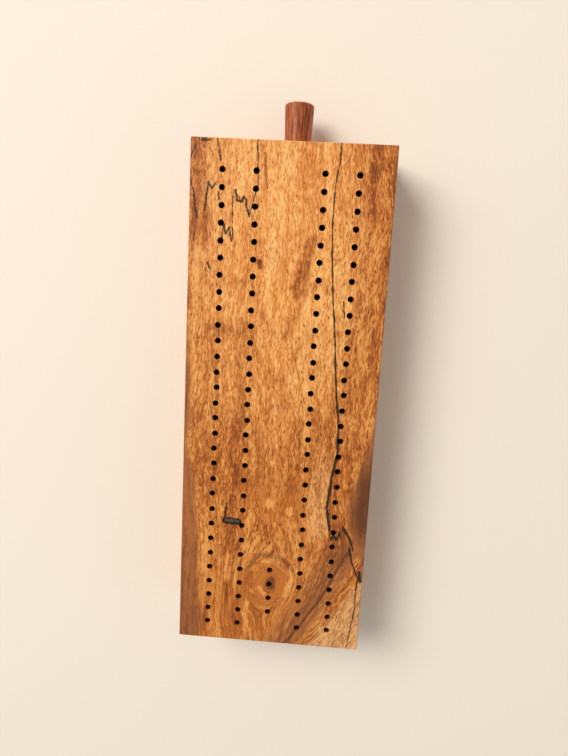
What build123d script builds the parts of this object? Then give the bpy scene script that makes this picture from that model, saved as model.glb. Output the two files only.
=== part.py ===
from build123d import *
import os
from math import atan2, cos, degrees, pi, radians, sin, tan

# A flat wooden cribbage box, 12 x 4 1/2 x 1 3/4 inches, with a drawer in one end.
# +Z points out of the playing face, the length lies along Y and the drawer opens towards -Y.
# The origin is the middle of the underside. All sizes are millimetres.

INCH = 25.4

# The case
case_length = 12 * INCH
case_width = 4.5 * INCH
case_height = 1.75 * INCH
top_thickness = INCH / 2
rail_width = INCH / 2
base_thickness = INCH / 4
base_rabbet = INCH / 4          # width of the step in each rail that takes the base
end_block_length = 0.75 * INCH
edge_easing = 0.5               # small flat left by sanding on every outside edge

# The peg holes: four rows of thirty, and four more on the middle line
hole_diameter = 9 / 64 * INCH    # pegs with a 1/8 inch shank drop in
hole_depth = 3 / 8 * INCH       # depth of the straight wall
drill_point_angle = 118
hole_flats = 14                 # flats round the wall of each hole that no mount measures
row_count = 30
row_pitch = 3 / 8 * INCH
track_width = 0.75 * INCH       # between the two rows of one player's track
track_gap = 1.5 * INCH          # between the inner rows of the two tracks
field_offset_x = 0.86           # the drilled field is a little off the middle of the board
first_row_margin = 16.5         # from the drawer end to the first row of holes
game_holes = range(25, 29)      # the rows that the four middle holes stand level with
measured_game_hole = 27
row_drift = 0.7                 # slow drift of whole rows along the board
column_bow = 0.6                # bow of the two tracks across the board
hole_scatter = 0.22             # small scatter of single holes

# The pocket of a lost bark inclusion in the playing face
bark_length = 11.6
bark_width = 4.2
bark_depth = 1.2
bark_centre = (25.9, 71.3)
bark_turn = -4.5

# The drawer
drawer_clearance = 0.4          # at each side
drawer_headroom = 0.6
drawer_wall = INCH / 4
drawer_front_thickness = INCH / 2
drawer_front_rabbet = INCH / 4  # how far the sides reach into the front
bottom_thickness = INCH / 8
bottom_lift = 2.4               # from the drawer's lower edge to its bottom panel
bottom_play = 0.4               # room at each edge of the bottom panel in its groove
groove_depth = INCH / 8
back_housing = INCH / 8
back_setback = INCH / 4         # sides run on behind the back
divider_thickness = 3 / 16 * INCH
divider_housing = 2.4
divider_drop = 3.0              # below the drawer's upper edge
card_bay_length = 92.0
scoop_radius = 16.0
scoop_depth = 7.0

# The turned knob
knob_length = 25.0
knob_base_diameter = 15.1
knob_tip_diameter = 17.1
knob_rim = 0.8
knob_offset_x = -0.8
tenon_diameter = 3 / 8 * INCH
tenon_length = 9.5
mortise_depth = 10.0
glue_gap = 0.05

# The turned metal pegs
peg_length = 1.25 * INCH
peg_head_diameter = 5.0
peg_head_length = 8.0
peg_shank_diameter = INCH / 8
peg_tip_diameter = 2.4
peg_tip_length = 0.8
pegs_per_set = 3
peg_spacing = 9.5

# Worked out from the sizes above
half_length = case_length / 2
front_y = -half_length
rail_height = case_height - top_thickness
cavity_width = case_width - 2 * rail_width
cavity_height = rail_height - base_thickness
cavity_back_y = half_length - end_block_length
base_width = cavity_width + 2 * base_rabbet

field_half_width = track_gap / 2 + track_width
column_places = (field_half_width, track_gap / 2, -track_gap / 2, -field_half_width)
field_length = (row_count - 1) * row_pitch
field_start_y = front_y + first_row_margin

drawer_floor_z = base_thickness
drawer_width = cavity_width - 2 * drawer_clearance
drawer_height = cavity_height - drawer_headroom
drawer_top_z = drawer_floor_z + drawer_height
drawer_inside_width = drawer_width - 2 * drawer_wall
front_inner_y = front_y + drawer_front_thickness
side_start_y = front_inner_y - drawer_front_rabbet
bottom_z = drawer_floor_z + bottom_lift
bay_floor_z = bottom_z + bottom_thickness
back_rear_y = cavity_back_y - back_setback
back_front_y = back_rear_y - drawer_wall
divider_height = drawer_top_z - divider_drop - bay_floor_z
rear_divider_y = back_front_y - card_bay_length - divider_thickness
front_divider_y = rear_divider_y - card_bay_length - divider_thickness
divider_places = (front_divider_y, rear_divider_y)
knob_z = drawer_floor_z + drawer_height / 2


def block(x, y, z):
    """A straight-sided block from three (low, high) pairs."""
    size = [high - low for low, high in (x, y, z)]
    middle = [(high + low) / 2 for low, high in (x, y, z)]
    return Pos(*middle) * Box(*size)


def spread(width, centre=0.0):
    """The (low, high) pair of a width about a centre."""
    return centre - width / 2, centre + width / 2


def edges_on(shape, *tests):
    """The edges whose middle passes every test."""
    return [e for e in shape.edges() if all(test(e.center()) for test in tests)]


def level(axis, value):
    """A test for a point that lies at a value along one axis."""
    return lambda point: abs(getattr(point, axis) - value) < 1e-4


# ---- Case ----

def hole_place(column, row):
    """Centre of one peg hole on the playing face.

    The holes were drilled by hand: rows drift along the board, the tracks bow and single holes
    wander. The first and last rows sit on their marks.
    """
    along = row / (row_count - 1)
    slack = sin(pi * along)
    drift = row_drift * sin(3 * pi * along ** 1.3)
    bow = (-column_bow if column < 2 else column_bow / 2) * slack
    wander_x = hole_scatter * slack * sin(2.3 * row + 1.9 * column)
    wander_y = hole_scatter * slack * sin(3.7 * row + 2.6 * column)
    x = field_offset_x + column_places[column] + bow + wander_x
    return x, field_start_y + row * row_pitch + drift + wander_y


def game_hole_place(row):
    """Centre of one of the four holes on the middle line."""
    return field_offset_x, field_start_y + row * row_pitch


def round_hole():
    """What the drill takes out: a straight wall and a pointed end, with the mouth at the origin."""
    radius = hole_diameter / 2
    point = radius / tan(radians(drill_point_angle / 2))
    profile = Polyline((0, 0), (radius, 0), (radius, -hole_depth), (0, -hole_depth - point), close=True)
    return revolve(Plane.XZ * make_face(profile), Axis.Z)


def flatted_hole():
    """The same hole with flats round its wall, which keeps the big field light."""
    point = hole_diameter / 2 / tan(radians(drill_point_angle / 2))
    mouth = RegularPolygon(hole_diameter / 2, hole_flats, major_radius=False)
    floor = Pos(0, 0, -hole_depth) * mouth
    return extrude(mouth, -hole_depth) + loft([floor, Vertex(0, 0, -hole_depth - point)])


def peg_holes():
    """Every hole in its place: the corners of the field and one middle hole are round."""
    plain = flatted_hole()
    measured = round_hole()
    holes = []
    for column in range(4):
        for row in range(row_count):
            corner = column in (0, 3) and row in (0, row_count - 1)
            holes.append(Pos(*hole_place(column, row), case_height) * (measured if corner else plain))
    for row in game_holes:
        shape = measured if row == measured_game_hole else plain
        holes.append(Pos(*game_hole_place(row), case_height) * shape)
    return holes


def make_playing_top():
    """The drilled slab that closes the box."""
    low_z = case_height - top_thickness
    slab = block(spread(case_width), spread(case_length), (low_z, case_height))
    corners = slab.edges().filter_by(Axis.Z)
    slab = chamfer(corners, edge_easing)
    rim = edges_on(slab, level("Z", case_height))
    slab = chamfer(rim, edge_easing)
    pocket = Pos(*bark_centre, case_height) * Rot(0, 0, bark_turn) * SlotOverall(bark_length, bark_width)
    slab -= extrude(pocket, -bark_depth)
    return slab - peg_holes()


def make_rail(side):
    """One long side of the case, stepped along its lower inner edge for the base."""
    outer = case_width / 2
    inner = outer - rail_width
    step = inner + base_rabbet
    profile = Polyline(
        (outer, 0), (outer, rail_height), (inner, rail_height), (inner, base_thickness),
        (step, base_thickness), (step, 0), close=True,
    )
    rail = extrude(Plane.XZ * make_face(profile), case_length / 2, both=True)
    uprights = edges_on(rail, level("X", outer), level("Z", rail_height / 2))
    rail = chamfer(uprights, edge_easing)
    lower = [e for e in edges_on(rail, level("Z", 0)) if e.center().X > step + 0.1]
    rail = chamfer(lower, edge_easing)
    return rail if side > 0 else mirror(rail, Plane.YZ)


def make_end_block():
    """The block that closes the cavity behind the drawer."""
    return block(spread(cavity_width), (cavity_back_y, half_length), (base_thickness, rail_height))


def make_base_panel():
    """The bottom of the case, set into the rails."""
    panel = block(spread(base_width), spread(case_length), (0, base_thickness))
    ends = edges_on(panel, level("Z", 0), level("X", 0))
    return chamfer(ends, edge_easing)


# ---- Drawer ----

def make_drawer_front():
    """The drawer's face: rabbeted for the sides, grooved for the bottom, bored for the knob."""
    front = block(spread(drawer_width), (front_y, front_inner_y), (drawer_floor_z, drawer_top_z))
    front = chamfer(edges_on(front, level("Y", front_y)), edge_easing)
    sides = (side_start_y, front_inner_y)
    for side in (-1, 1):
        x = spread(drawer_wall, side * (drawer_width - drawer_wall) / 2)
        front -= block(x, sides, (drawer_floor_z, drawer_top_z))
    groove = (front_inner_y - groove_depth, front_inner_y)
    front -= block(spread(drawer_width), groove, (bottom_z, bay_floor_z))
    bore = Cylinder(tenon_diameter / 2 + glue_gap, 2 * mortise_depth)
    return front - Pos(knob_offset_x, front_y, knob_z) * Rot(90, 0, 0) * bore


def make_drawer_side(side):
    """One side of the drawer, grooved for the bottom and housed for the back and dividers."""
    outer = drawer_width / 2
    inner = outer - drawer_wall
    upright = (drawer_floor_z, drawer_top_z)
    wall = block((inner, outer), (side_start_y, cavity_back_y), upright)
    middle_y = (side_start_y + cavity_back_y) / 2
    wall = chamfer(edges_on(wall, level("Z", drawer_top_z), level("Y", middle_y)), edge_easing)
    wall -= block((inner, inner + groove_depth), (side_start_y, cavity_back_y), (bottom_z, bay_floor_z))
    wall -= block((inner, inner + back_housing), (back_front_y, back_rear_y), (bay_floor_z, drawer_top_z))
    for y in divider_places:
        housing = (inner, inner + divider_housing)
        wall -= block(housing, (y, y + divider_thickness), (bay_floor_z, drawer_top_z))
    return wall if side > 0 else mirror(wall, Plane.YZ)


def make_drawer_bottom():
    """The thin panel that slides in under the back."""
    width = drawer_inside_width + 2 * (groove_depth - bottom_play)
    start = front_inner_y - groove_depth
    return block(spread(width), (start, back_rear_y), (bottom_z, bay_floor_z))


def make_drawer_back():
    """The back, housed in the sides and standing on the bottom."""
    width = drawer_inside_width + 2 * back_housing
    return block(spread(width), (back_front_y, back_rear_y), (bay_floor_z, drawer_top_z))


def make_divider(y):
    """A divider with a finger scoop in its upper edge."""
    width = drawer_inside_width + 2 * divider_housing
    top_z = bay_floor_z + divider_height
    board = block(spread(width), (y, y + divider_thickness), (bay_floor_z, top_z))
    scoop = Rot(90, 0, 0) * Cylinder(scoop_radius, 3 * divider_thickness)
    return board - Pos(0, y, top_z + scoop_radius - scoop_depth) * scoop


def make_knob():
    """The turned pull: a short dowel that widens a little outwards, on a tenon."""
    base = knob_base_diameter / 2
    tip = knob_tip_diameter / 2
    tenon = tenon_diameter / 2
    profile = Polyline(
        (0, tenon_length), (tenon, tenon_length), (tenon, 0), (base, 0), (tip, knob_rim - knob_length),
        (tip - knob_rim, -knob_length), (0, -knob_length), close=True,
    )
    return Pos(knob_offset_x, front_y, knob_z) * revolve(make_face(profile), Axis.Y)


# ---- Pegs ----

def make_peg():
    """A turned metal peg along +Y: bevelled tip at the origin, straight shank, thicker head."""
    tip = peg_tip_diameter / 2
    shank = peg_shank_diameter / 2
    head = peg_head_diameter / 2
    head_y = peg_length - peg_head_length
    profile = Polyline(
        (0, 0), (tip, 0), (shank, peg_tip_length), (shank, head_y), (head, head_y),
        (head, peg_length), (0, peg_length), close=True,
    )
    return revolve(make_face(profile), Axis.Y)


def lay_peg(peg, x, y, heading):
    """Lay a peg on the floor of its bay so that its head and the start of its shank both touch."""
    shank = peg_shank_diameter / 2
    rise = peg_head_diameter / 2 - shank
    tilt = atan2(rise, peg_length - peg_head_length - peg_tip_length)
    rest_z = bay_floor_z + shank * cos(tilt) - peg_tip_length * sin(tilt)
    return Pos(x, y, rest_z) * Rot(0, 0, heading) * Rot(degrees(tilt), 0, 0) * peg


def make_pegs():
    """Two sets of three pegs, side by side in the front bay, none quite straight."""
    peg = make_peg()
    bay_middle_y = (front_inner_y + front_divider_y) / 2
    pegs = {}
    for number, (name, centre_x) in enumerate((("peg_brass", -17.0), ("peg_steel", 17.0))):
        for place in range(pegs_per_set):
            turn = 2.4 * place + 1.3 * number
            x = centre_x + (place - (pegs_per_set - 1) / 2) * peg_spacing
            y = bay_middle_y - peg_length / 2 + 4.0 * sin(turn)
            pegs[f"{name}_{place + 1}"] = lay_peg(peg, x, y, 5.0 * cos(1.7 * turn))
    return pegs


nodes = {
    "playing_top": make_playing_top(),
    "rail_left": make_rail(-1),
    "rail_right": make_rail(1),
    "end_block": make_end_block(),
    "base_panel": make_base_panel(),
    "drawer_front": make_drawer_front(),
    "drawer_side_left": make_drawer_side(-1),
    "drawer_side_right": make_drawer_side(1),
    "drawer_bottom": make_drawer_bottom(),
    "drawer_back": make_drawer_back(),
    "drawer_divider_front": make_divider(front_divider_y),
    "drawer_divider_rear": make_divider(rear_divider_y),
    "knob": make_knob(),
}
nodes.update(make_pegs())

os.makedirs("parts", exist_ok=True)
for name, shape in nodes.items():
    export_step(shape, f"parts/{name}.step")
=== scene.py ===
from math import cos, radians, sin

import bmesh
import bpy
from bpy.props import FloatProperty, FloatVectorProperty, PointerProperty
from mathutils import Matrix, Vector


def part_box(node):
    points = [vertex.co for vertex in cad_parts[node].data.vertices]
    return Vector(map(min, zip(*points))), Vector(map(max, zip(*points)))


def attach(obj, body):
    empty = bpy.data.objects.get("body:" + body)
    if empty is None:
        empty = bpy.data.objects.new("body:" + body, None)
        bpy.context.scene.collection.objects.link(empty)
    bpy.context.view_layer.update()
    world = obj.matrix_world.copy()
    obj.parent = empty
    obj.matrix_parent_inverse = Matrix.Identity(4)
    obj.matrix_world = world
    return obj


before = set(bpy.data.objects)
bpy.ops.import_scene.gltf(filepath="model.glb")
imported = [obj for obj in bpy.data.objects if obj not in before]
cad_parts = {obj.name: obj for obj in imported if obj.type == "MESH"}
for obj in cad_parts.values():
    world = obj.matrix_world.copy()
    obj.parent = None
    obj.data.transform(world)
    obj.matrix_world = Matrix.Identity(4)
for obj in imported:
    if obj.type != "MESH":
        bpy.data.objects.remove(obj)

bl_info = {
    "name": "Cribbage Box",
    "version": (1, 0, 0),
    "blender": (4, 5, 0),
    "location": "View3D > Sidebar > Cribbage Box",
    "description": "Finishes the wooden cribbage box: spalted board, case, drawer, knob, bark and pegs",
    "category": "Object",
}

MM = 0.001

# The box lies flat: +Z out of the playing face, the knob end towards -Y.
TOP_LOW, TOP_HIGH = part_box("playing_top")
FACE_Z = TOP_HIGH[2]
BOARD_HALF_LENGTH = (TOP_HIGH[1] - TOP_LOW[1]) / 2 / MM
BOARD_HALF_WIDTH = (TOP_HIGH[0] - TOP_LOW[0]) / 2 / MM

# the planks: the turn of the grain in degrees, and the shift that takes it from another plank
LENGTHWAYS, ACROSS = 0, 90
CASE_PLANKS = (("rail_left", LENGTHWAYS, 0.0), ("rail_right", LENGTHWAYS, 31.0),
               ("base_panel", LENGTHWAYS, 62.0), ("end_block", ACROSS, 57.0))
FRONT_PLANK = ("drawer_front", ACROSS, 83.0)
# and the drawer's other boards, with how strongly their pores show
DRAWER_PLANKS = (("drawer_side_left", LENGTHWAYS, 11.0, 0.2), ("drawer_side_right", LENGTHWAYS, 51.0, 0.2),
                 ("drawer_back", ACROSS, 23.0, 0.2), ("drawer_divider_front", ACROSS, 40.0, 0.2),
                 ("drawer_divider_rear", ACROSS, 57.0, 0.2), ("drawer_bottom", ACROSS, 71.0, 0.15))
DRAWER_CONTRAST = 0.6
DRAWER_ROUGHNESS = 0.64
PEG_NODES = [f"peg_{metal}_{number}" for metal in ("brass", "steel") for number in (1, 2, 3)]


def tone(red, green, blue):
    """A colour as a screen shows it, 0 to 255, as the linear one that a shader takes."""
    linear = []
    for part in (red, green, blue):
        value = part / 255
        linear.append(value / 12.92 if value <= 0.04045 else ((value + 0.055) / 1.055) ** 2.4)
    return linear


def colour(name, text, *screen):
    """A colour property with its default."""
    return FloatVectorProperty(name=name, description=text, subtype="COLOR", size=3, min=0, max=1,
                               default=tone(*screen))


def shade(shown, share):
    """A colour darkened to a share of itself."""
    return [part * share for part in shown]


def length(name, text, millimetres):
    """A length property with its default."""
    return FloatProperty(name=name, description=text, subtype="DISTANCE", unit="LENGTH",
                         default=millimetres * MM, min=0)


# ---- What a user would change ----

class BoardSettings(bpy.types.PropertyGroup):
    """Colours of the spalted board."""
    gold_dark: colour("Gold, dark", "Dark dashes of the golden sapwood", 196, 110, 40)
    gold: colour("Gold", "Body of the golden sapwood", 240, 157, 76)
    gold_light: colour("Gold, light", "Pale flecks of the golden sapwood", 255, 202, 126)
    tan_dark: colour("Tan, dark", "Dark dashes of the darker sapwood", 120, 56, 14)
    tan: colour("Tan", "Body of the darker sapwood", 184, 100, 29)
    tan_light: colour("Tan, light", "Pale flecks of the darker sapwood", 232, 156, 76)
    heart_dark: colour("Heartwood, dark", "Dark grain of the brown heartwood", 86, 42, 16)
    heart_light: colour("Heartwood, light", "Light grain of the brown heartwood", 190, 116, 60)
    bleached: colour("Bleached", "The pale, speckled wood beyond the lines", 236, 184, 124)
    # the zone lines' near-black, also used as painted shade down in the peg holes and the bark's pocket
    zone_line_and_hole_shade: colour("Zone line", "The dark lines that the fungus drew", 16, 10, 6)
    pore: colour("Pores", "What the open pores leave of the colour round them", 166, 130, 102)


class CaseSettings(bpy.types.PropertyGroup):
    """Colours of the case and the drawer."""
    case_light: colour("Case, light", "Light grain of the sides and base", 214, 146, 80)
    case_dark: colour("Case, dark", "Dark grain of the sides and base", 158, 98, 50)
    drawer_light: colour("Drawer, light", "Light grain of the drawer's sides", 226, 190, 138)
    drawer_dark: colour("Drawer, dark", "Dark grain of the drawer's sides", 190, 146, 94)


class KnobSettings(bpy.types.PropertyGroup):
    """Colours of the turned knob."""
    light: colour("Light grain", "Light grain of the reddish wood", 208, 114, 60)
    dark: colour("Dark grain", "Dark streaks of the reddish wood", 98, 40, 16)


class BarkSettings(bpy.types.PropertyGroup):
    """The lost bark inclusion in the playing face."""
    length: length("Length", "Length of the bark", 10.0)
    width: length("Width", "Width of the bark", 2.5)
    height: length("Height", "Height of the bark in its pocket", 0.9)
    crust: colour("Crust", "Grey-brown crust of the bark", 96, 84, 74)


class PegSettings(bpy.types.PropertyGroup):
    """The turned metal pegs."""
    brass: colour("Brass", "Colour of the brass pegs", 212, 172, 96)
    steel: colour("Steel", "Colour of the steel pegs", 190, 190, 188)


class StageSettings(bpy.types.PropertyGroup):
    """The floor, the lamps and the camera."""
    floor: colour("Floor", "Colour of the floor", 248, 237, 220)
    backdrop: colour("Backdrop", "Colour of everything behind the floor", 244, 232, 215)
    round_light: FloatProperty(name="Light all round", description="Strength of the light from all sides",
                               default=0.36, min=0)
    key_power: FloatProperty(name="Key light", description="Power of the large soft lamp",
                             subtype="POWER", default=101.0, min=0)
    fill_power: FloatProperty(name="Fill light", description="Power of the lamp on the other side",
                              subtype="POWER", default=1.5, min=0)


# ---- Node trees ----

class Tree:
    """Short words for building a node tree."""

    def __init__(self, tree):
        self.tree = tree

    def add(self, kind, **settings):
        """A new node with its settings."""
        node = self.tree.nodes.new(kind)
        for key, value in settings.items():
            setattr(node, key, value)
        return node

    def feed(self, socket, value):
        """Link a socket, or set its own value."""
        if isinstance(value, bpy.types.NodeSocket):
            self.tree.links.new(value, socket)
        else:
            socket.default_value = value

    def math(self, operation, *values, clamp=False):
        """One step of arithmetic."""
        node = self.add("ShaderNodeMath", operation=operation, use_clamp=clamp)
        for socket, value in zip(node.inputs, values):
            self.feed(socket, value)
        return node.outputs[0]

    def times(self, first, second):
        """Two values multiplied."""
        return self.math("MULTIPLY", first, second)

    def plus(self, first, second):
        """Two values added."""
        return self.math("ADD", first, second)

    def minus(self, first, second):
        """The second value taken from the first."""
        return self.math("SUBTRACT", first, second)

    def scaled(self, value, factor, offset):
        """A value times a factor, plus an offset."""
        return self.math("MULTIPLY_ADD", value, factor, offset)

    def vector(self, operation, *values):
        """One step of vector arithmetic."""
        node = self.add("ShaderNodeVectorMath", operation=operation)
        for socket, value in zip(node.inputs, values):
            self.feed(socket, value)
        gives_number = operation in ("LENGTH", "DOT_PRODUCT", "DISTANCE")
        return node.outputs["Value" if gives_number else "Vector"]

    def stretch(self, vector, scale):
        """The vector with each axis scaled."""
        return self.vector("MULTIPLY", vector, scale)

    def split(self, vector):
        """The three parts of a vector."""
        node = self.add("ShaderNodeSeparateXYZ")
        self.feed(node.inputs[0], vector)
        return node.outputs[0], node.outputs[1], node.outputs[2]

    def join(self, x, y, z):
        """A vector from three parts."""
        node = self.add("ShaderNodeCombineXYZ")
        for socket, value in zip(node.inputs, (x, y, z)):
            self.feed(socket, value)
        return node.outputs[0]

    def noise(self, vector, detail=2.0, roughness=0.5):
        """Noise about one unit wide."""
        node = self.add("ShaderNodeTexNoise")
        self.feed(node.inputs["Vector"], vector)
        node.inputs["Scale"].default_value = 1.0
        node.inputs["Detail"].default_value = detail
        node.inputs["Roughness"].default_value = roughness
        return node.outputs["Fac"]

    def grained(self, vector, across, along, detail=2.0, roughness=0.5):
        """Noise drawn out along Y: about so many features to a millimetre, across the grain and along it."""
        return self.noise(self.stretch(vector, (across, along, across)), detail, roughness)

    def sway(self, noise, reach):
        """Noise as a shift to either side, reach from end to end."""
        return self.scaled(noise, reach, -reach / 2)

    def ramp(self, value, low, high):
        """0 at low, 1 at high, smooth between them. Low may be the greater one."""
        node = self.add("ShaderNodeMapRange", interpolation_type="SMOOTHSTEP")
        for socket, part in zip(node.inputs, (value, low, high, 0.0, 1.0)):
            self.feed(socket, part)
        return node.outputs[0]

    def window(self, value, rise, fall):
        """1 between a rise and a fall, each a pair: where it is 0 and where it is 1."""
        return self.times(self.ramp(value, *rise), self.ramp(value, *fall))

    def mix(self, factor, first, second, blend="MIX"):
        """Two colours mixed."""
        node = self.add("ShaderNodeMix", data_type="RGBA", blend_type=blend)
        self.feed(node.inputs[0], factor)
        for socket, value in zip((node.inputs[6], node.inputs[7]), (first, second)):
            self.feed(socket, opaque(value))
        return node.outputs[2]

    def palette(self, value, *colours):
        """Colours in even steps from 0 to 1."""
        node = self.add("ShaderNodeValToRGB")
        stops = node.color_ramp.elements
        for index, shown in enumerate(colours):
            place = index / (len(colours) - 1)
            stop = stops[index] if index < 2 else stops.new(place)
            stop.position = place
            stop.color = opaque(shown)
        self.feed(node.inputs[0], value)
        return node.outputs[0]

    def curve(self, value, points):
        """A drawn curve: points are pairs of the value and what it gives, from low values to high."""
        low, high = points[0][0], points[-1][0]
        least = min(gives for _, gives in points)
        reach = max(gives for _, gives in points) - least
        even = self.add("ShaderNodeMapRange")
        for socket, part in zip(even.inputs, (value, low, high, 0.0, 1.0)):
            self.feed(socket, part)
        node = self.add("ShaderNodeFloatCurve")
        line = node.mapping.curves[0].points
        pairs = [((given - low) / (high - low), (gives - least) / reach) for given, gives in points]
        for index, pair in enumerate(pairs):
            point = line[index] if index < 2 else line.new(*pair)
            point.location = pair
            point.handle_type = "VECTOR"
        node.mapping.update()
        self.feed(node.inputs["Value"], even.outputs[0])
        return self.scaled(node.outputs[0], reach, least)

    def group(self, tree, **values):
        """A node group with its inputs; names with spaces are written with _."""
        node = self.add("ShaderNodeGroup", node_tree=tree)
        for key, value in values.items():
            self.feed(node.inputs[key.replace("_", " ")], opaque(value))
        return node.outputs


def opaque(value):
    """A property's three colour parts with full alpha; anything else as it is."""
    if isinstance(value, (bpy.types.NodeSocket, float, int)):
        return value
    parts = tuple(value)
    return (*parts, 1.0) if len(parts) == 3 and not isinstance(value, Vector) else parts


def new_group(name, inputs, outputs):
    """An empty shader node group. Returns (its tree, its input node's sockets, its output node)."""
    tree = bpy.data.node_groups.new(name, "ShaderNodeTree")
    kinds = {"value": "NodeSocketFloat", "vector": "NodeSocketVector", "colour": "NodeSocketColor"}
    for title, kind in inputs:
        tree.interface.new_socket(title, in_out="INPUT", socket_type=kinds[kind])
    for title, kind in outputs:
        tree.interface.new_socket(title, in_out="OUTPUT", socket_type=kinds[kind])
    entry = tree.nodes.new("NodeGroupInput")
    end = tree.nodes.new("NodeGroupOutput")
    return tree, entry.outputs, end


# the parts of the grain: about how many to a millimetre, across the grain and along it
BANDS = (0.07, 0.009)
CLUMPS = (0.30, 0.06)
THREADS = (0.55, 0.012)
DASHES = (1.45, 0.27)
PORES = (1.2, 0.27)
BAND_WEIGHT = 0.5
FIGURE_SPREAD = 0.26              # how far the mixed noise strays at a contrast of 1
PORE_EDGE = (0.36, 0.12)          # from a pore's middle: where it starts, and where it is deepest
PORE_KEPT = (0.25, 0.35)          # which of the cells have a pore at all


def grain_group():
    """Wood grain along Y of a vector in millimetres: its figure from dark to light, its pores and its relief.

    Wave bends it, Clump gathers it in patches and Long draws it out into smooth lines.
    """
    tree, given, end = new_group(
        "Wood Grain", [("Vector", "vector"), ("Wave", "value"), ("Clump", "value"), ("Long", "value"),
                       ("Contrast", "value")],
        [("Figure", "value"), ("Pore", "value"), ("Height", "value")])
    t = Tree(tree)
    x, y, z = t.split(given["Vector"])
    wobble = t.grained(given["Vector"], 0.20, 0.09)
    place = t.join(t.scaled(wobble, given["Wave"], x), y, z)
    band = t.grained(place, *BANDS)
    clump = t.grained(place, *CLUMPS, detail=3.0, roughness=0.6)
    thread = t.grained(place, *THREADS, detail=3.0, roughness=0.6)
    dash = t.grained(place, *DASHES, detail=3.0, roughness=0.6)

    def part(noise, weight):
        return t.times(t.minus(noise, 0.5), weight)

    mixed = t.plus(part(band, BAND_WEIGHT), part(clump, given["Clump"]))
    mixed = t.plus(mixed, part(thread, t.scaled(given["Long"], 0.5, 0.3)))
    mixed = t.plus(mixed, part(dash, t.scaled(given["Long"], -0.65, 1.0)))
    spread = t.math("DIVIDE", FIGURE_SPREAD, given["Contrast"])
    figure = t.ramp(mixed, t.times(spread, -1.0), spread)
    cell = t.add("ShaderNodeTexVoronoi", voronoi_dimensions="3D", feature="F1")
    t.feed(cell.inputs["Vector"], t.stretch(place, (PORES[0], PORES[1], PORES[0])))
    cell.inputs["Scale"].default_value = 1.0
    kept = t.ramp(t.split(cell.outputs["Color"])[0], *PORE_KEPT)
    pore = t.times(t.ramp(cell.outputs["Distance"], *PORE_EDGE), kept)
    t.feed(end.inputs["Figure"], figure)
    t.feed(end.inputs["Pore"], pore)
    t.feed(end.inputs["Height"], t.minus(t.times(dash, 0.8), pore))
    return tree


STROKE_CORE = 0.35                # the share of a stroke's half-width that is fully dark


def stroke_group():
    """A soft stroke from one point to another in millimetres. Width is from its middle to its edge."""
    tree, given, end = new_group(
        "Stroke", [("Place", "vector"), ("Start", "vector"), ("End", "vector"), ("Width", "value")],
        [("Mask", "value")])
    t = Tree(tree)
    along = t.vector("SUBTRACT", given["End"], given["Start"])
    away = t.vector("SUBTRACT", given["Place"], given["Start"])
    share = t.math("DIVIDE", t.vector("DOT_PRODUCT", away, along),
                   t.vector("DOT_PRODUCT", along, along), clamp=True)
    nearest = t.add("ShaderNodeVectorMath", operation="SCALE")
    t.feed(nearest.inputs[0], along)
    t.feed(nearest.inputs["Scale"], share)
    gap = t.vector("DISTANCE", away, nearest.outputs[0])
    t.feed(end.inputs["Mask"], t.ramp(gap, given["Width"], t.times(given["Width"], STROKE_CORE)))
    return tree


GRAIN = grain_group()
STROKE = stroke_group()


def new_material(name, roughness):
    """A material with one Principled shader. Returns (material, its tree, its shader)."""
    material = bpy.data.materials.new(name)
    material.use_nodes = True
    tree = material.node_tree
    tree.nodes.clear()
    shader = tree.nodes.new("ShaderNodeBsdfPrincipled")
    end = tree.nodes.new("ShaderNodeOutputMaterial")
    tree.links.new(shader.outputs["BSDF"], end.inputs["Surface"])
    shader.inputs["Roughness"].default_value = roughness
    return material, Tree(tree), shader


def new_wood(name):
    """A material for oiled wood, which reflects less than varnish."""
    material, t, shader = new_material(name, roughness=0.42)
    shader.inputs["Specular IOR Level"].default_value = 0.3
    return material, t, shader


def object_place(t):
    """Object coordinates in millimetres."""
    source = t.add("ShaderNodeTexCoord")
    return t.stretch(source.outputs["Object"], (1 / MM, 1 / MM, 1 / MM))


def raise_bump(t, shader, height, strength, depth):
    """Feed a relief into the shader's normal; depth is what one unit of it stands for, in millimetres."""
    bump = t.add("ShaderNodeBump")
    bump.inputs["Strength"].default_value = strength
    bump.inputs["Distance"].default_value = depth * MM
    t.feed(bump.inputs["Height"], height)
    t.feed(shader.inputs["Normal"], bump.outputs["Normal"])


def highest(t, masks):
    """The strongest of several masks, taken one by one so that few stay in use at a time."""
    result = 0.0
    for mask in masks:
        result = t.math("MAXIMUM", result, mask)
    return result


def stroke(t, place, start, end, half):
    """The mask of one stroke on the face, from start to end."""
    return t.group(STROKE, Place=place, Start=Vector((*start, 0)), End=Vector((*end, 0)), Width=half)["Mask"]


# ---- The board's figure, in millimetres on the playing face ----
# x grows towards the photograph's left, y towards its foot.

KNOT = (0.0, 112.0)
KNOT_REACH = 15.0                 # how far out the knot pushes the grain aside
KNOT_SQUASH = 0.6                 # the knot is longer along the board than across it
KNOT_SOFTNESS = 60.0              # keeps the grain from folding at the knot's middle
MOST_BULGE = 0.95
KNOT_RINGS = (12.0, 7.0)          # from its middle: where its rings begin, and where they are full
RING_PITCH = 0.9                  # how closely they follow the grain's own lines
RING_SHIFT = 40.0                 # takes them from another part of the grain
RING_LENGTH = -0.7                # how much shorter the dashes are round the rings
KNOT_CORE = (5.6, 2.0)            # and the same for its dark middle
ARC_RADIUS = 15.3                 # a dark arc over the knot
ARC_EDGE = (2.4, 0.8)
ARC_TOP = (KNOT[1] - 6.0, KNOT[1] - 11.0)
SWEEP_FROM = 84.0                 # below here the grain at the right sweeps in to the foot
SWEEP_SIDE = (4.0, -26.0)
SWEEP_SLOPE = -0.56
EYE = (-3.0, 81.0)
EYE_SQUASH = 0.8
EYE_RING = 1.8
EYE_EDGE = (1.3, 0.3)
ARCH_X = 3.5                      # the middle of the arched figure in the upper half
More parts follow.
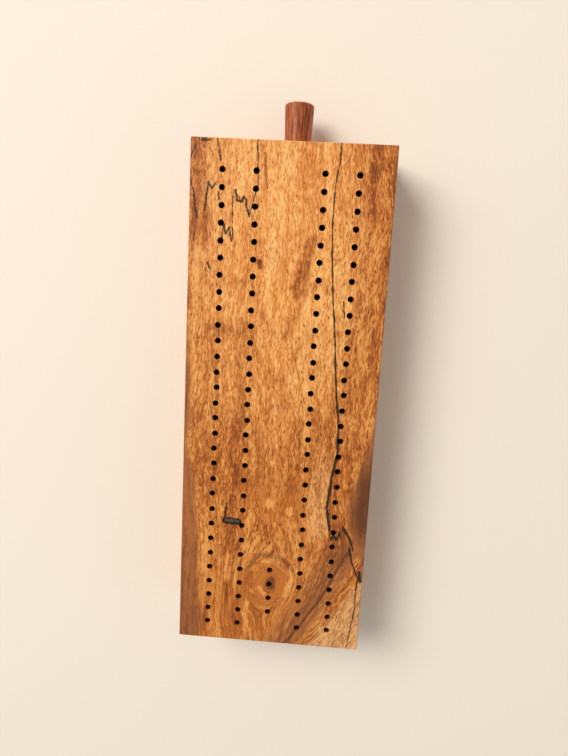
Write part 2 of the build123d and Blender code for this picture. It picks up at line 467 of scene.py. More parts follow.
ARCH_REACH = 16.0                 # how far to each side it goes on falling
ARCH_SPAN = 14.0                  # at this distance from its middle
ARCH_DROP = 24.0                  # it has fallen by this much
ARCH_ROUNDNESS = 1.6

# how dark the sapwood is, from gold at 0 to tan at 1: y, depth down the board
DEPTH_DOWN = ((-153, 0.30), (-120, 0.05), (-80, 0.15), (-60, 0.0), (-50, 0.05), (-44, 0.55), (-37, 0.15),
              (-26, 0.12), (-18, 0.65), (-8, 0.25), (4, 0.55), (14, 0.35), (30, 0.62), (50, 0.80),
              (66, 0.95), (100, 0.85), (153, 0.85))
# and x, depth across it
DEPTH_ASIDE = ((-60, 1.0), (-46, 0.85), (-34, 0.3), (-22, 0.05), (30, 0.05), (46, 0.35), (60, 0.85))

# where the brown heartwood begins along the left and the right edge: y, x
LEFT_HEART = ((-153, 60), (-100, 57), (-45, 53), (-15, 52), (21, 51), (46, 48.5), (72, 46), (99, 44),
              (153, 43.5))
RIGHT_HEART = ((-153, -66), (-40, -60), (5, -56), (24, -51), (46, -43.5), (65, -42), (80, -46), (92, -54),
               (101, -59), (153, -66))
LEFT_EDGE = (-1.0, 5.0)
RIGHT_EDGE = (-1.5, 4.0)
# the brown band across the foot's right corner: y, x of its middle
BAND_X = ((70, -53), (84, -47), (97, -41.6), (112, -35), (125, -28.5), (146, -15), (153, -10))
# and how brown it is: distance from that middle, amount
BAND_ACROSS = ((-14, 0.0), (-7, 0.35), (-4, 0.75), (-2, 0.4), (0, 1.0), (2.2, 0.55), (5, 0.75), (8, 0.3),
               (11, 0.5), (18, 0.0))
BAND_TOP = (66.0, 90.0)
# the darkest heartwood, at the right edge
CORE_SIDE = (-44.0, -54.0)
CORE_TOP, CORE_FOOT = (20.0, 44.0), (86.0, 68.0)

# where the bleached corner begins: y, x
PALE_EDGE = ((70, -70), (95, -62), (112, -51), (130, -38), (153, -22))
CORNER_EDGE = (-2.0, 4.0)
# the pale strip at the left of the long line
STRIP_NEAR, STRIP_FAR = (0.0, 1.5), (13.5, 10.0)
STRIP_TOP, STRIP_FOOT = (16.0, 40.0), (86.0, 70.0)

# the calm, evenly coloured patch below the middle
EVEN_TOP, EVEN_FOOT = (34.0, 43.0), (72.0, 60.0)
EVEN_RIGHT, EVEN_LEFT = (-22.0, -14.0), (26.0, 18.0)
# the smooth, drawn-out grain at the foot
SMOOTH_TOP = (88.0, 116.0)
SMOOTH_SIDE = (-24.0, -8.0)

# the long zone line down the photograph's right side: y, x
LONG_LINE = ((-153, -26), (-145, -26), (-137, -25), (-128, -24), (-107, -24), (-91, -25), (-68, -27),
             (-52, -29), (-30, -31), (-11, -33), (2, -35), (22, -36), (36, -34), (45, -33), (58, -32),
             (73, -34.5))
LONG_END = (74.0, 73.0)
# its zigzag: x, y
ZIGZAG = ((-49.8, 84), (-47, 76.5), (-44.5, 73), (-42.3, 70.3), (-42, 76.9), (-40.8, 74.4), (-39.3, 77.9),
          (-37.2, 76), (-35.6, 78.5), (-34, 72))
ZIGZAG_START, ZIGZAG_END = (-50.3, -49.6), (-33.8, -34.5)
# its tail in the corner: y, x
TAIL_LINE = ((80, -47), (83, -47.5), (91, -48.9), (97.4, -51.7), (102.7, -54), (110.9, -53.4),
             (124.6, -53.8), (135.9, -52.1), (148.7, -50.7), (153, -50.5))
TAIL_START = (82.0, 84.0)
# from the line's middle to its edge: y, half-width
LINE_WIDTH = ((-153, 0.4), (-110, 0.4), (-60, 0.55), (-20, 0.7), (20, 0.8), (45, 1.1), (73, 0.8), (100, 0.8),
              (112, 0.6), (153, 0.4))
LINE_CORE, LINE_EDGE = 0.5, 1.3   # the shares of that half-width where it is darkest and where it ends
LINE_SHAKE = 2.2                  # how far the lines stray from side to side
ZIGZAG_WIDTH, TAIL_WIDTH = 1.8, 0.8  # against the long line
STROKE_WIDTH = 1.6                # a short line's half-width with its soft edge, against the one given

# short dark lines, each a chain of points: x, y, half-width of the stretch that starts there; the broad one
# at the bark is its painted shadow
LINE_AND_SHADOW_CHAINS = (
    ((19.9, -152, 0.3), (18.6, -129, 0.35), (23, -111.5, 0.55), (25.3, -119.9, 0.5), (26.2, -122, 0.6),
     (27.5, -119, 0.7), (30.2, -119.8, 0.6), (31, -125.2, 0)),
    ((58.1, -133, 0.35), (55, -124, 0.5), (52.6, -109.5, 0)),
    ((48.3, -113, 0.45), (46.5, -128.9, 0.5), (44.5, -125.4, 0.45), (42.5, -128.4, 0)),
    ((38.2, -98.2, 0.35), (37.2, -106.5, 0.5), (35.7, -101.1, 0.45), (34, -105, 0.45), (32.5, -96.9, 0)),
    ((42.5, -152, 0.35), (39.9, -140.7, 0)),
    ((50.6, -150.9, 0.6), (46.3, -151.1, 0)),
    ((54.1, -147.9, 0.35), (58.2, -138.3, 0)),
    ((40.6, -123.7, 0.4), (40.5, -119.4, 0)),
    ((32.8, -121.9, 0.25), (31.9, -98, 0)),
    ((45.7, -85, 0.35), (43.5, -79.5, 0)),
    ((-33, -67, 0.3), (-34.4, -58, 0)),
    ((29.7, 60, 0.5), (30.2, 69, 0)),
    # painted shadow: a broad dark stroke under and round the bark in its pocket
    ((30, 71.1, 1.9), (21.8, 71.6, 0)),
    ((-54.6, 99, 1.0), (-55.6, 105, 0)),
)

# soft brown streaks in the sapwood: start, end, half-width, strength
STREAKS = (
    ((-13, -100), (-6.5, -70), 5.0, 0.8), ((-47, -152), (-45.5, -113), 3.2, 1.0),
    ((42.5, -42), (38, -5), 2.6, 0.7), ((54, -152), (50, -98), 10.0, 0.9),
    ((15.8, -86.8), (15.8, -83.8), 2.0, 1.0), ((17.5, -145), (13.5, -127), 1.2, 0.8),
    ((30, -121), (27, -120), 2.4, 1.0), ((29, 113.8), (27.6, 136), 1.8, 1.0),
)

# painted highlights: glossy pale streaks and spots lightened into the colour: start, end, half-width at their
# brightest
PAINTED_HIGHLIGHT_STREAKS = (
    ((27.7, 95), (27.7, 109.5), 1.2), ((14.9, 126), (15.2, 152), 1.1), ((-12, 99.4), (-12.6, 108), 0.9),
    ((-12.4, 108), (-9.2, 118.8), 0.9), ((7.1, 114.6), (4.3, 118.5), 0.9), ((3.2, 57), (3.4, 59), 1.3),
    ((-9.2, 61.5), (-9.8, 63.3), 1.3), ((13, 70), (14.5, 64), 0.8),
)
# the painted highlights' soft edge
HIGHLIGHT_WIDTH = 2.4                  # a pale streak's half-width with its soft edge, against the one given

# the painted shade down in the peg holes and the bark's pocket: how far below the face it starts, and where
# it is darkest
HOLE_SHADE = (0.15, 1.4)
FACE_MARGIN = 1.0                 # the board's outer edges aren't holes

# how far each mark takes the wood under it to its own colour, 0 to 1
CORE_AMOUNT = 0.85
BLEACH_AMOUNT = 0.6
EYE_AMOUNT = 0.5
KNOT_AMOUNT = 0.8
ARC_AMOUNT = 0.45
# for the zone lines and the painted shadow round the bark
LINE_AND_SHADOW_AMOUNT = 0.97
# for the painted shade in the holes
HOLE_SHADE_AMOUNT = 0.9
# how far a mark lifts or sinks the grain's own figure
STREAK_LIFT = -0.17
PALE_LIFT = 0.28
# for the painted highlights
HIGHLIGHT_LIFT = 0.38


def bend_flow(t, place):
    """The place bent so that the grain runs round the knot, rings it, and sweeps in below it.

    Returns (bent place, distance from the knot, how far the knot's rings rule there).
    """
    x, y, z = t.split(place)
    wander = t.sway(t.grained(place, 0.02, 0.014, detail=1.0), reach=14.0)
    uneven = t.sway(t.grained(place, 0.17, 0.13, detail=4.0, roughness=0.6), reach=9.0)
    dx = t.minus(x, KNOT[0])
    dy = t.minus(y, KNOT[1])
    square = t.plus(t.times(dx, dx), t.times(t.times(dy, dy), KNOT_SQUASH))
    radius = t.plus(t.math("SQRT", square), uneven)
    bulge = t.math("DIVIDE", KNOT_REACH ** 2, t.plus(square, KNOT_SOFTNESS))
    beside = t.times(dx, t.minus(1.0, t.math("MINIMUM", bulge, MOST_BULGE)))
    below = t.math("MAXIMUM", t.minus(y, SWEEP_FROM), 0.0)
    lean = t.times(t.times(below, t.ramp(dx, *SWEEP_SIDE)), SWEEP_SLOPE)
    flow = t.plus(t.plus(beside, lean), wander)
    ringed = t.ramp(radius, *KNOT_RINGS)
    ring_x = t.scaled(radius, RING_PITCH, RING_SHIFT)
    flow = t.scaled(t.minus(ring_x, flow), ringed, flow)
    along = t.times(y, t.scaled(ringed, RING_LENGTH, 1.0))
    return t.join(flow, along, z), radius, ringed


def sapwood_masks(t, x, y, rough, soft_x):
    """How dark the sapwood is: in arched bands down the board, towards its edges, and in brown streaks."""
    side = t.math("MINIMUM", t.math("ABSOLUTE", t.minus(x, ARCH_X)), ARCH_REACH)
    fall = t.times(t.math("POWER", t.math("DIVIDE", side, ARCH_SPAN), ARCH_ROUNDNESS), ARCH_DROP)
    arch = t.scaled(rough, 0.5, t.plus(y, fall))
    down = t.curve(arch, DEPTH_DOWN)
    aside = t.curve(soft_x, DEPTH_ASIDE)
    streaked = t.join(soft_x, y, 0.0)
    streaks = highest(t, (t.times(strength, stroke(t, streaked, start, end, half))
                          for start, end, half, strength in STREAKS))
    return {"depth": highest(t, (down, aside, streaks)), "streaks": streaks}


def heartwood_masks(t, x, y, rough, soft_x):
    """The brown heartwood along both edges and in a band across the foot's right corner."""
    left_edge = t.curve(y, LEFT_HEART)
    left = t.ramp(t.minus(soft_x, left_edge), *LEFT_EDGE)
    right_edge = t.curve(y, RIGHT_HEART)
    right = t.ramp(t.minus(right_edge, soft_x), *RIGHT_EDGE)
    band_x = t.curve(y, BAND_X)
    band_gap = t.minus(t.scaled(rough, 0.35, x), band_x)
    across = t.curve(band_gap, BAND_ACROSS)
    band = t.times(t.ramp(across, 0.0, 0.8), t.ramp(y, *BAND_TOP))
    rims = t.math("MAXIMUM", left, right)
    heart = t.math("MAXIMUM", rims, band)
    core = t.times(t.ramp(soft_x, *CORE_SIDE), t.window(y, CORE_TOP, CORE_FOOT))
    darkest = t.math("MAXIMUM", core, t.ramp(t.times(across, band), 0.7, 1.0))
    return {"rims": rims, "heart": heart, "darkest": darkest}


def pale_masks(t, x, y, soft_x):
    """The wood that the lines shut off: a corner at the foot, and a strip beside the long line."""
    pale_edge = t.curve(y, PALE_EDGE)
    corner = t.ramp(t.minus(pale_edge, soft_x), *CORNER_EDGE)
    long_x = t.curve(y, LONG_LINE)
    beside_line = t.minus(x, long_x)
    strip = t.times(t.window(beside_line, STRIP_NEAR, STRIP_FAR), t.window(y, STRIP_TOP, STRIP_FOOT))
    pale = t.math("MAXIMUM", corner, t.times(strip, 1.3))
    return {"corner": corner, "strip": strip, "pale": pale, "long_x": long_x}


def knot_masks(t, y, radius):
    """The knot's dark middle and the dark arc over it."""
    core = t.ramp(radius, *KNOT_CORE)
    arc_gap = t.math("ABSOLUTE", t.minus(radius, ARC_RADIUS))
    return {"knot": core, "arc": t.times(t.ramp(arc_gap, *ARC_EDGE), t.ramp(y, *ARC_TOP))}


def board_masks(t, place, radius):
    """All masks over the board by name, and long_x, where the long line runs."""
    x, y, _ = t.split(place)
    rough = t.sway(t.grained(place, 0.12, 0.03, detail=3.0, roughness=0.6), reach=12.0)
    soft_x = t.plus(x, rough)
    masks = sapwood_masks(t, x, y, rough, soft_x)
    masks.update(heartwood_masks(t, x, y, rough, soft_x))
    masks.update(pale_masks(t, x, y, soft_x))
    masks.update(knot_masks(t, y, radius))
    hazy_y = t.plus(y, rough)
    masks["even"] = t.times(t.window(hazy_y, EVEN_TOP, EVEN_FOOT), t.window(soft_x, EVEN_RIGHT, EVEN_LEFT))
    masks["bleach"] = t.math("MAXIMUM", masks["corner"], t.times(masks["strip"], 0.5))
    return masks


def zone_lines_and_bark_shadow(t, place, long_x):
    """The dark lines of the spalting, each a little ragged and now thinner, now thicker, and the painted
    shadow round the bark.
    """
    x, y, _ = t.split(place)
    shake = t.sway(t.grained(place, 0.45, 0.22, detail=3.0, roughness=0.65), LINE_SHAKE)
    ragged_x = t.plus(x, shake)
    ragged_y = t.plus(y, shake)
    ragged = t.join(ragged_x, ragged_y, 0.0)
    swell = t.scaled(t.grained(place, 0.05, 0.15), 2.4, -0.2)
    width = t.times(t.curve(y, LINE_WIDTH), swell)

    def line(gap, share):
        return t.ramp(t.math("ABSOLUTE", gap), t.times(width, LINE_EDGE * share),
                      t.times(width, LINE_CORE * share))

    long = t.times(line(t.minus(t.scaled(shake, 0.6, x), long_x), 1.0), t.ramp(y, *LONG_END))
    zigzag_y = t.curve(x, ZIGZAG)
    gate = t.window(x, ZIGZAG_START, ZIGZAG_END)
    zigzag = t.times(line(t.minus(ragged_y, zigzag_y), ZIGZAG_WIDTH), gate)
    tail_x = t.curve(y, TAIL_LINE)
    tail = t.times(line(t.minus(ragged_x, tail_x), TAIL_WIDTH), t.ramp(y, *TAIL_START))
    drawn = highest(t, (long, zigzag, tail))
    stretches = [(first[:2], second[:2], first[2])
                 for chain in LINE_AND_SHADOW_CHAINS for first, second in zip(chain, chain[1:])]
    strokes_and_bark_shadow = highest(t, (stroke(t, ragged, start, end, half * STROKE_WIDTH)
                          for start, end, half in stretches))
    return t.math("MAXIMUM", drawn, strokes_and_bark_shadow)


def painted_hole_shade(t, place):
    """Where a point lies down in a peg hole or the bark's pocket, not on an outer face: the mask of the
    painted shade there.
    """
    x, y, z = t.split(place)
    deep = t.ramp(z, FACE_Z / MM - HOLE_SHADE[0], FACE_Z / MM - HOLE_SHADE[1])
    within_x = t.math("LESS_THAN", t.math("ABSOLUTE", x), BOARD_HALF_WIDTH - FACE_MARGIN)
    within_y = t.math("LESS_THAN", t.math("ABSOLUTE", y), BOARD_HALF_LENGTH - FACE_MARGIN)
    return t.times(deep, t.times(within_x, within_y))


def eye_ring(t, place):
    """The pale ring of the small eye by the knot."""
    middle = Vector((EYE[0], EYE[1] * EYE_SQUASH, 0))
    gap = t.vector("DISTANCE", t.stretch(place, (1.0, EYE_SQUASH, 0.0)), middle)
    return t.ramp(t.math("ABSOLUTE", t.minus(gap, EYE_RING)), *EYE_EDGE)


def shaken(t, place):
    """The place shaken a little, for marks with soft, uneven edges."""
    shake = t.sway(t.grained(place, 0.6, 0.3, detail=3.0, roughness=0.6), reach=4.0)
    x, y, _ = t.split(place)
    return t.join(t.plus(x, shake), t.plus(y, shake), 0.0)


def board_grain(t, flow, masks, ringed, smooth_foot, drawn_out):
    """The board's grain: bolder where the sapwood is dark, calmer in the even patch, knot and foot."""
    calm = highest(t, (masks["even"], t.times(ringed, 1.4), t.times(smooth_foot, 0.5)))
    calmer = t.scaled(calm, -0.42, 1.0)
    return t.group(GRAIN, Vector=flow, Wave=t.scaled(masks["depth"], 3.0, 1.0),
                   Clump=t.scaled(masks["depth"], 0.3, 0.3), Long=drawn_out,
                   Contrast=t.times(t.scaled(masks["depth"], 0.12, 0.95), calmer))


def board_material(settings):
    """The spalted board: golden sapwood, brown heartwood, zone lines, a knot and a bleached corner, with
    painted shade in its holes, a painted shadow round the bark and painted highlights in glossy pale streaks.
    """
    material, t, shader = new_wood("spalted_board")
    place = object_place(t)
    flow, radius, ringed = bend_flow(t, place)
    masks = board_masks(t, place, radius)
    x, y, _ = t.split(place)
    smooth_foot = t.times(t.ramp(y, *SMOOTH_TOP), t.ramp(x, *SMOOTH_SIDE))
    drawn_out = highest(t, (masks["rims"], t.times(smooth_foot, 0.85), t.times(masks["heart"], 0.4)))
    grain = board_grain(t, flow, masks, ringed, smooth_foot, drawn_out)
    soft_place = shaken(t, place)
    # painted highlight: glossy pale streaks lightened into the grain's figure
    glow = highest(t, (stroke(t, soft_place, start, end, half * HIGHLIGHT_WIDTH)
                       for start, end, half in PAINTED_HIGHLIGHT_STREAKS))
    lift = t.scaled(glow, HIGHLIGHT_LIFT, t.times(masks["pale"], PALE_LIFT))
    lift = t.scaled(masks["streaks"], STREAK_LIFT, lift)
    figure = t.plus(grain["Figure"], lift)
    gold = t.palette(figure, settings.gold_dark, settings.gold, settings.gold_light)
    tan = t.palette(figure, settings.tan_dark, settings.tan, settings.tan_light)
    body = t.mix(masks["depth"], gold, tan)
    calm = t.scaled(grain["Figure"], 0.56, 0.2)
    brown = t.mix(calm, settings.heart_dark, settings.heart_light)
    brown = t.mix(t.times(masks["darkest"], CORE_AMOUNT), brown, settings.heart_dark)
    body = t.mix(masks["heart"], body, brown)
    bleached = t.mix(figure, settings.tan_dark, settings.bleached)
    body = t.mix(t.times(masks["bleach"], BLEACH_AMOUNT), body, bleached)
    body = t.mix(t.times(eye_ring(t, place), EYE_AMOUNT), body, settings.tan_light)
    body = t.mix(t.times(masks["knot"], KNOT_AMOUNT), body, settings.heart_dark)
    body = t.mix(t.times(masks["arc"], ARC_AMOUNT), body, settings.heart_dark)
    pores = t.times(grain["Pore"], t.scaled(drawn_out, -0.5, 1.0))
    body = t.mix(pores, body, settings.pore, "MULTIPLY")
    lines_and_bark_shadow = zone_lines_and_bark_shadow(t, place, masks["long_x"])
    # the zone lines, with the painted shadow round the bark
    body = t.mix(t.times(lines_and_bark_shadow, LINE_AND_SHADOW_AMOUNT), body, settings.zone_line_and_hole_shade)
    # painted shade: the peg holes and the bark's pocket are darkened towards near-black
    body = t.mix(t.times(painted_hole_shade(t, place), HOLE_SHADE_AMOUNT), body, settings.zone_line_and_hole_shade)
    t.feed(shader.inputs["Base Color"], body)
    t.feed(shader.inputs["Roughness"], t.scaled(grain["Figure"], -0.10, 0.52))
    raise_bump(t, shader, grain["Height"], strength=0.5, depth=0.12)
    return material


def plain_wood(name, dark, light, turn=0.0, shift=0.0, pores=0.4, contrast=0.9, roughness=0.52):
    """A calmer wood. Turn is the way of its grain in degrees; shift takes it from another plank."""
    material, t, shader = new_wood(name)
    turned = t.add("ShaderNodeMapping", vector_type="POINT")
    turned.inputs["Rotation"].default_value = (0, 0, radians(turn))
    turned.inputs["Location"].default_value = (shift, 2.3 * shift, 1.7 * shift)
    t.feed(turned.inputs["Vector"], object_place(t))
    slow = t.grained(turned.outputs[0], 0.03, 0.012, detail=1.0)
    x, y, z = t.split(turned.outputs[0])
    flow = t.join(t.scaled(slow, 12.0, x), y, z)
    grain = t.group(GRAIN, Vector=flow, Wave=1.5, Clump=0.5, Long=0.4, Contrast=contrast)
    body = t.mix(grain["Figure"], dark, light)
    body = t.mix(t.times(grain["Pore"], pores), body, shade(dark, 0.45))
    t.feed(shader.inputs["Base Color"], body)
    t.feed(shader.inputs["Roughness"], t.scaled(grain["Figure"], -0.08, roughness))
    raise_bump(t, shader, grain["Height"], strength=0.4, depth=0.1)
    return material


def knob_material(settings):
    """Reddish wood with fine dark streaks along the knob."""
    material, t, shader = new_wood("turned_knob_wood")
    place = object_place(t)
    fine = t.grained(place, 1.5, 0.05, detail=3.0, roughness=0.6)
    broad = t.grained(place, 0.35, 0.02)
    streak = t.ramp(t.scaled(broad, 0.4, t.times(fine, 0.6)), 0.38, 0.60)
    body = t.mix(streak, settings.dark, settings.light)
    grain = t.group(GRAIN, Vector=place, Wave=0.5, Clump=0.3, Long=1.0, Contrast=1.0)
    body = t.mix(t.times(grain["Pore"], 0.5), body, shade(settings.dark, 0.5))
    t.feed(shader.inputs["Base Color"], body)
    t.feed(shader.inputs["Roughness"], t.scaled(streak, -0.08, 0.46))
    raise_bump(t, shader, grain["Height"], strength=0.4, depth=0.08)
    return material


def bark_material(settings):
    """Dark, crusty bark."""
    material, t, shader = new_material("bark", roughness=0.85)
    place = object_place(t)
    crumb = t.noise(t.stretch(place, (1.1, 1.6, 1.6)), detail=4.0, roughness=0.7)
    crust = t.mix(t.ramp(crumb, 0.42, 0.62), shade(settings.crust, 0.12), settings.crust)
    t.feed(shader.inputs["Base Color"], crust)
    raise_bump(t, shader, crumb, strength=0.8, depth=0.4)
    return material


def metal_material(name, metal_colour, roughness):
    """Turned metal with fine tool marks and a little tarnish."""
    material, t, shader = new_material(name, roughness)
    shader.inputs["Metallic"].default_value = 1.0
    place = object_place(t)
    tarnish = t.ramp(t.grained(place, 0.35, 0.35, detail=3.0, roughness=0.6), 0.45, 0.70)
    dull = shade(metal_colour, 0.62)
    t.feed(shader.inputs["Base Color"], t.mix(t.times(tarnish, 0.7), metal_colour, dull))
    marks = t.grained(place, 0.4, 7.0)
    t.feed(shader.inputs["Roughness"], t.scaled(marks, 0.14, roughness))
    raise_bump(t, shader, marks, strength=0.15, depth=0.02)
    return material


# ---- Pieces ----

def dress(node, material):
    """Give a CAD node its finish."""
    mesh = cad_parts[node].data
    if mesh.materials:
        for index in range(len(mesh.materials)):
            mesh.materials[index] = material
    else:
        mesh.materials.append(material)


def mesh_piece(name, shape, material, body):
    """A bmesh made an object that rides on a body."""
    mesh = bpy.data.meshes.new(name)
    bmesh.ops.recalc_face_normals(shape, faces=shape.faces)
    shape.to_mesh(mesh)
    shape.free()
    mesh.materials.append(material)
    piece = bpy.data.objects.new(name, mesh)
    bpy.context.scene.collection.objects.link(piece)
    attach(piece, body)
    return piece


def smooth(mesh, angle):
    """Smooth faces with sharp edges past an angle, in degrees."""
    mesh.shade_smooth()
    mesh.set_sharp_from_angle(angle=radians(angle))


class CRIBBAGE_OT_playing_top(bpy.types.Operator):
    """Finish the drilled board"""
    bl_idname = "cribbage.playing_top"
    bl_label = "Playing Top"

    def execute(self, context):
        dress("playing_top", board_material(context.scene.cribbage_board))
        return {"FINISHED"}


class CRIBBAGE_OT_case(bpy.types.Operator):
    """Finish the rails, the end block and the base"""
    bl_idname = "cribbage.case"
    bl_label = "Case"

    def execute(self, context):
        settings = context.scene.cribbage_case
        for node, turn, shift in CASE_PLANKS:
            dress(node, plain_wood(node, settings.case_dark, settings.case_light, turn, shift))
        return {"FINISHED"}


class CRIBBAGE_OT_drawer(bpy.types.Operator):
    """Finish the drawer's boards"""
    bl_idname = "cribbage.drawer"
    bl_label = "Drawer"

    def execute(self, context):
        settings = context.scene.cribbage_case
        node, turn, shift = FRONT_PLANK
        dress(node, plain_wood(node, settings.case_dark, settings.case_light, turn, shift))
        for node, turn, shift, pores in DRAWER_PLANKS:
            dress(node, plain_wood(node, settings.drawer_dark, settings.drawer_light, turn, shift, pores,
                                   DRAWER_CONTRAST, DRAWER_ROUGHNESS))
        return {"FINISHED"}


class CRIBBAGE_OT_knob(bpy.types.Operator):
    """Finish the turned knob"""
    bl_idname = "cribbage.knob"
    bl_label = "Knob"

    def execute(self, context):
        dress("knob", knob_material(context.scene.cribbage_knob))
        return {"FINISHED"}


# the bark, in millimetres and degrees
BARK_PLACE = (25.9, 71.3)
BARK_TURN = -4.5
BARK_POCKET_DEPTH = 1.2
BARK_ROUNDING = 0.3               # the share of its width that its edges are rounded by
BARK_TOP_SWELL = 0.18             # how far its top and its sides crumble, as shares of their size
BARK_SIDE_SWELL = 0.14


class CRIBBAGE_OT_bark(bpy.types.Operator):
    """Lay the remains of bark in its pocket"""
    bl_idname = "cribbage.bark"
    bl_label = "Bark"

    def execute(self, context):
        settings = context.scene.cribbage_bark
        shape = bmesh.new()
        bmesh.ops.create_cube(shape, size=1.0)
        for vert in shape.verts:
            vert.co = Vector((vert.co.x * settings.length, vert.co.y * settings.width,
                              (vert.co.z + 0.5) * settings.height))
        bmesh.ops.bevel(shape, geom=shape.edges[:], offset=settings.width * BARK_ROUNDING, segments=2,
                        affect="EDGES", profile=0.5, material=-1)
        bmesh.ops.subdivide_edges(shape, edges=shape.edges[:], cuts=3, use_grid_fill=True)
        for vert in shape.verts:
            x, y = vert.co.x / MM, vert.co.y / MM
            vert.co.z *= 1.0 + BARK_TOP_SWELL * (sin(x * 2.3) * cos(y * 5.1 + x * 1.1))
            vert.co.y *= 1.0 + BARK_SIDE_SWELL * sin(x * 1.7 + 0.8)
        pocket = Vector((BARK_PLACE[0] * MM, BARK_PLACE[1] * MM, FACE_Z - BARK_POCKET_DEPTH * MM))
        place = Matrix.Translation(pocket) @ Matrix.Rotation(radians(BARK_TURN), 4, "Z")
        bmesh.ops.transform(shape, matrix=place, verts=shape.verts)
        piece = mesh_piece("bark_remains", shape, bark_material(settings), "case")
        smooth(piece.data, angle=50)
        return {"FINISHED"}


class CRIBBAGE_OT_pegs(bpy.types.Operator):
    """Finish the brass and steel pegs"""
    bl_idname = "cribbage.pegs"
    bl_label = "Pegs"

    def execute(self, context):
        settings = context.scene.cribbage_pegs
        finishes = {
            "brass": metal_material("brass", settings.brass, roughness=0.24),
            "steel": metal_material("steel", settings.steel, roughness=0.28),
        }
        for node in PEG_NODES:
            dress(node, finishes[node.split("_")[1]])
        return {"FINISHED"}


# ---- Stage ----

# the camera, in millimetres, as the photograph was taken: in front of the playing face, knob end up
CAMERA_PLACE = (-17.7, -81.1, 373.3)
CAMERA_FORWARD = (0.0483, 0.1808, -0.9823)
CAMERA_UP = (0.0635, -0.9821, -0.1776)
FOCAL_PIXELS = 570.0
PHOTO_HEIGHT = 756
SENSOR = 36.0

# the floor and the lamps, in metres
FLOOR_SIZE = 8.0
FLOOR_END = (0.5, 1.1)            # from the box: where it starts to go over into the backdrop, and its end
KEY_PLACE, KEY_SIZE, KEY_TINT = (1.8, -1.5, 2.4), 1.8, (1.0, 0.97, 0.93)
FILL_PLACE, FILL_SIZE, FILL_TINT = (-1.2, 0.5, 0.9), 1.2, (0.94, 0.97, 1.0)


def aim(thing, place, forward, up):
    """Place a camera or lamp with its view along forward."""
    back = -Vector(forward).normalized()
    side = Vector(up).cross(back).normalized()
    above = back.cross(side)
    turned = Matrix((side, above, back)).transposed().to_4x4()
    thing.matrix_world = Matrix.Translation(Vector(place)) @ turned


def soft_lamp(name, place, size, power, tint):
    """A large square lamp that looks at the box."""
    lamp = bpy.data.lights.new(name, "AREA")
    lamp.shape = "SQUARE"
    lamp.size = size
    lamp.energy = power
    lamp.color = tint
    holder = bpy.data.objects.new(name, lamp)
    bpy.context.scene.collection.objects.link(holder)
    aim(holder, place, -Vector(place), (0, 0.01, 1))


def seen(t):
    """Whether a surface is looked at, straight or in metal, rather than lighting the rest."""
    path = t.add("ShaderNodeLightPath")
    straight = t.math("MAXIMUM", path.outputs["Is Camera Ray"], path.outputs["Is Transmission Ray"])
    return t.math("MAXIMUM", straight, path.outputs["Is Glossy Ray"])


def floor_material(settings):
    """A plain, matt, pale floor that goes over into the backdrop well away from the box."""
    material, t, shader = new_material("floor", roughness=0.9)
    place = object_place(t)
    mottle = t.grained(place, 0.004, 0.004)
    t.feed(shader.inputs["Base Color"], t.mix(mottle, shade(settings.floor, 0.97), settings.floor))
    glow = t.add("ShaderNodeEmission")
    t.feed(glow.inputs["Color"], opaque(settings.backdrop))
    far = t.ramp(t.vector("LENGTH", place), *(end / MM for end in FLOOR_END))
    blend = t.add("ShaderNodeMixShader")
    t.feed(blend.inputs[0], t.times(far, seen(t)))
    t.feed(blend.inputs[1], shader.outputs["BSDF"])
    t.feed(blend.inputs[2], glow.outputs["Emission"])
    end = next(node for node in t.tree.nodes if node.bl_idname == "ShaderNodeOutputMaterial")
    t.feed(end.inputs["Surface"], blend.outputs[0])
    return material


def studio_world(settings):
    """An even, soft white all round, that is looked at as the pale backdrop."""
    world = bpy.data.worlds.new("studio")
    world.use_nodes = True
    world.node_tree.nodes.clear()
    t = Tree(world.node_tree)
    soft = t.add("ShaderNodeBackground")
    soft.inputs["Color"].default_value = (1, 1, 1, 1)
    soft.inputs["Strength"].default_value = settings.round_light
    backdrop = t.add("ShaderNodeBackground")
    t.feed(backdrop.inputs["Color"], opaque(settings.backdrop))
    blend = t.add("ShaderNodeMixShader")
    t.feed(blend.inputs[0], seen(t))
    t.feed(blend.inputs[1], soft.outputs[0])
    t.feed(blend.inputs[2], backdrop.outputs[0])
    end = t.add("ShaderNodeOutputWorld")
    t.feed(end.inputs["Surface"], blend.outputs[0])
    return world


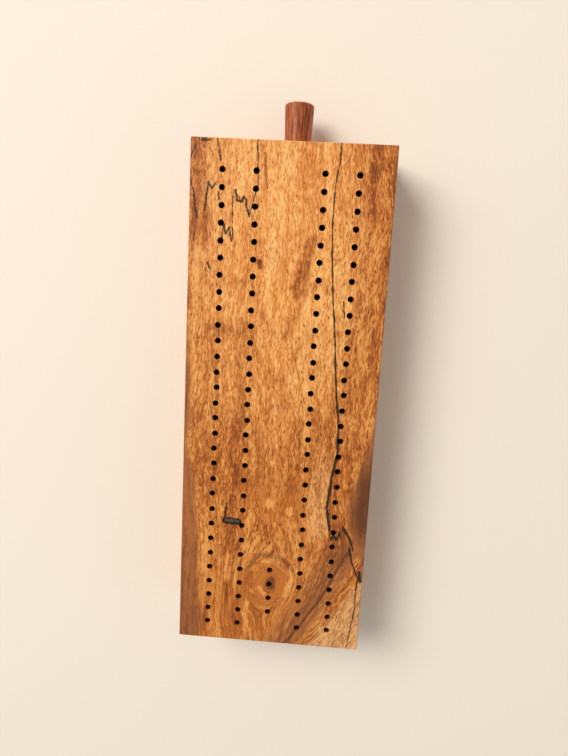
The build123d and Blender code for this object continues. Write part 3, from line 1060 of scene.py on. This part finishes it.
class CRIBBAGE_OT_stage(bpy.types.Operator):
    """Set up the floor, the lamps, the world and the camera"""
    bl_idname = "cribbage.stage"
    bl_label = "Stage"

    def execute(self, context):
        scene = context.scene
        settings = scene.cribbage_stage
        shape = bmesh.new()
        bmesh.ops.create_grid(shape, x_segments=1, y_segments=1, size=FLOOR_SIZE / 2)
        mesh = bpy.data.meshes.new("floor")
        shape.to_mesh(mesh)
        shape.free()
        mesh.materials.append(floor_material(settings))
        floor = bpy.data.objects.new("floor", mesh)
        scene.collection.objects.link(floor)
        soft_lamp("key", KEY_PLACE, KEY_SIZE, settings.key_power, KEY_TINT)
        soft_lamp("fill", FILL_PLACE, FILL_SIZE, settings.fill_power, FILL_TINT)
        scene.world = studio_world(settings)
        camera = bpy.data.cameras.new("camera")
        camera.sensor_fit = "VERTICAL"
        camera.sensor_height = SENSOR
        camera.lens = SENSOR * FOCAL_PIXELS / PHOTO_HEIGHT
        camera.clip_start = 0.01
        holder = bpy.data.objects.new("camera", camera)
        scene.collection.objects.link(holder)
        aim(holder, [part * MM for part in CAMERA_PLACE], CAMERA_FORWARD, CAMERA_UP)
        scene.camera = holder
        scene.view_settings.view_transform = "Standard"
        return {"FINISHED"}


OPERATORS = (
    CRIBBAGE_OT_stage, CRIBBAGE_OT_playing_top, CRIBBAGE_OT_case, CRIBBAGE_OT_drawer,
    CRIBBAGE_OT_knob, CRIBBAGE_OT_bark, CRIBBAGE_OT_pegs,
)

SETTINGS = {
    "cribbage_board": BoardSettings, "cribbage_case": CaseSettings, "cribbage_knob": KnobSettings,
    "cribbage_bark": BarkSettings, "cribbage_pegs": PegSettings, "cribbage_stage": StageSettings,
}


class CRIBBAGE_PT_panel(bpy.types.Panel):
    """Lists the steps that finish the box"""
    bl_idname = "CRIBBAGE_PT_panel"
    bl_label = "Cribbage Box"
    bl_space_type = "VIEW_3D"
    bl_region_type = "UI"
    bl_category = "Cribbage Box"

    def draw(self, context):
        for operator in OPERATORS:
            self.layout.operator(operator.bl_idname)
        for name in SETTINGS:
            settings = getattr(context.scene, name)
            box = self.layout.box()
            for key in settings.__annotations__:
                box.prop(settings, key)


def register():
    for kind in (*SETTINGS.values(), *OPERATORS, CRIBBAGE_PT_panel):
        bpy.utils.register_class(kind)
    for name, kind in SETTINGS.items():
        setattr(bpy.types.Scene, name, PointerProperty(type=kind))


def unregister():
    for name in SETTINGS:
        delattr(bpy.types.Scene, name)
    for kind in reversed((*SETTINGS.values(), *OPERATORS, CRIBBAGE_PT_panel)):
        bpy.utils.unregister_class(kind)


def main():
    """Finish the whole box."""
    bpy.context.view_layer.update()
    register()
    for operator in OPERATORS:
        group, name = operator.bl_idname.split(".")
        getattr(getattr(bpy.ops, group), name)()


if __name__ == "__main__":
    main()
